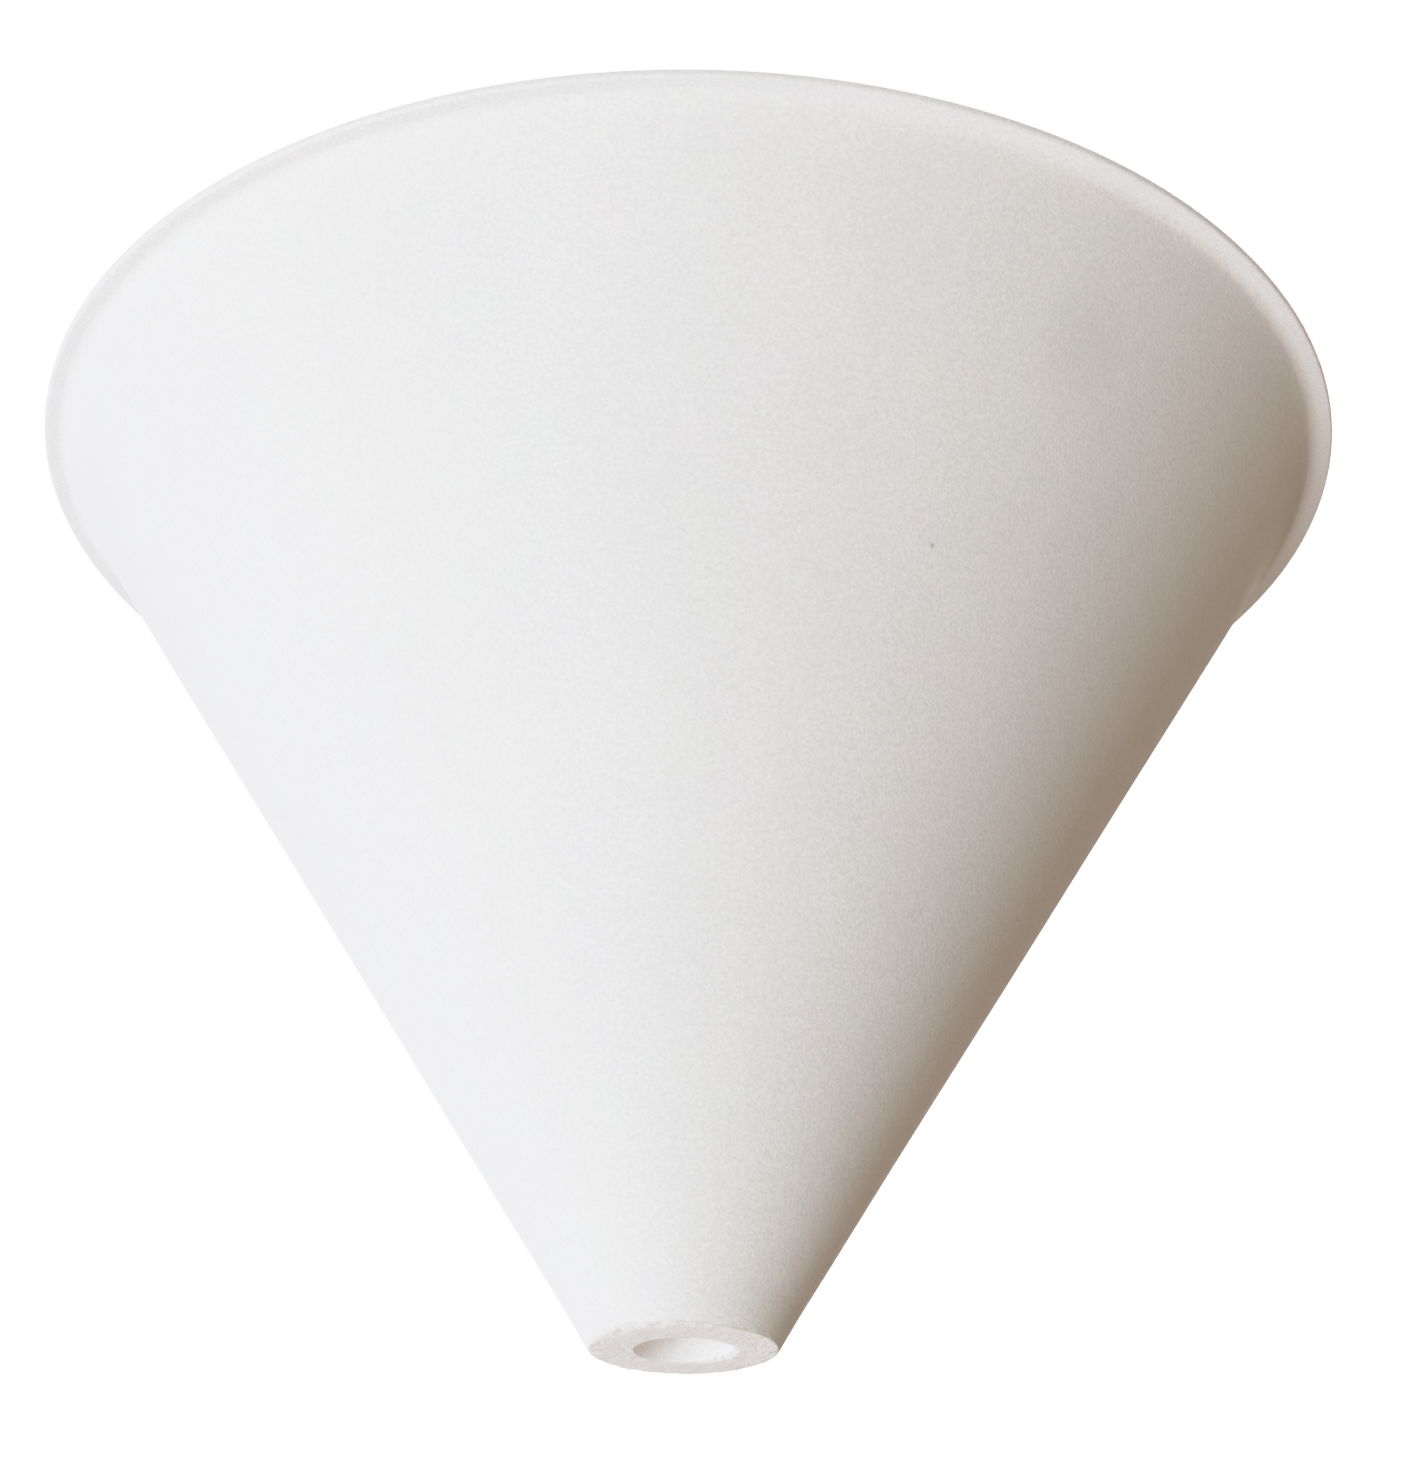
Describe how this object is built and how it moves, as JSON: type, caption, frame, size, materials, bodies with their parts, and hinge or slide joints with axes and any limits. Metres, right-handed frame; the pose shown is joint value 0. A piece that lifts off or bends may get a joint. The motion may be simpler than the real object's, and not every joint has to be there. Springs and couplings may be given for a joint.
{
  "type": "buchner funnel",
  "caption": "Stemless conical suction filter funnel with a thin out-turned lip and a thick bored tip, holding a seal ring, a loose perforated plate and filter paper.",
  "frame": {"origin": "centre of the tip's flat outlet face", "axes": "+Z along the funnel's axis from the tip to the rim; the shape is turned about it, so X and Y are free"},
  "size_m": [0.12, 0.12, 0.0827],
  "materials": {
    "body_plastic": "fine matte white moulding",
    "seal_rubber": "dull grey elastomer",
    "plate_plastic": "satin white moulding",
    "filter_stock": "soft fibrous cellulose"
  },
  "bodies": {
    "funnel": {"funnel_body": "body_plastic"},
    "seal": {"seal_ring": "seal_rubber"},
    "plate": {"filter_plate": "plate_plastic"},
    "paper": {"filter_paper": "filter_stock"}
  },
  "joints": [
    {"name": "seal_lift", "type": "slide", "parent": "funnel", "child": "seal", "axis": [0, 0, 1], "range_m": [0, 0.055]},
    {"name": "plate_lift", "type": "slide", "parent": "seal", "child": "plate", "axis": [0, 0, 1], "range_m": [0, 0.05]},
    {"name": "paper_lift", "type": "slide", "parent": "plate", "child": "paper", "axis": [0, 0, 1], "range_m": [0, 0.045]}
  ]
}
